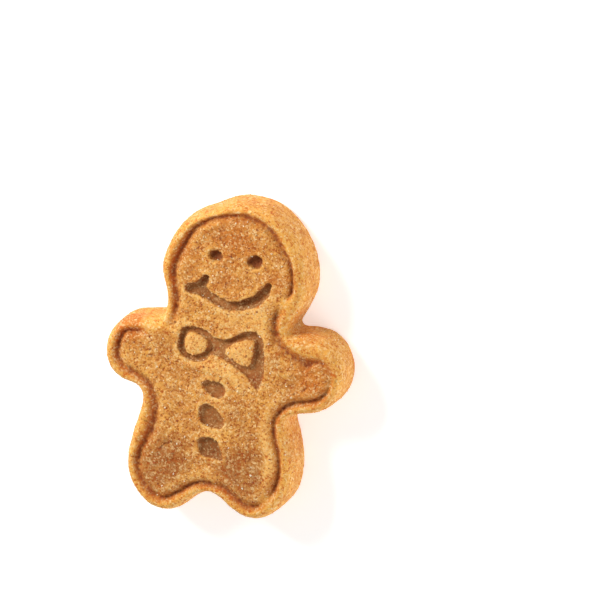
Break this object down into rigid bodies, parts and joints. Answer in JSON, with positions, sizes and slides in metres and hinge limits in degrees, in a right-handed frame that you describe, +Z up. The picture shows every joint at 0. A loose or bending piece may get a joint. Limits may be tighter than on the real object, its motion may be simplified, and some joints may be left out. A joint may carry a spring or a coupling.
{
  "type": "gingerbread man biscuit",
  "caption": "Small moulded gingerbread figure with a rounded rim, a pressed groove, a smiling face, a bow tie and buttons.",
  "frame": {"origin": "middle of the footprint, on the flat underside that the biscuit rests on", "axes": "+Z up out of the pressed face, +Y towards the head, +X to the viewer's right when the face is seen upright"},
  "size_m": [0.0432, 0.0574, 0.0095],
  "materials": {
    "baked_dough": "matte"
  },
  "bodies": {
    "root": {"gingerbread_man": "baked_dough"}
  },
  "joints": []
}
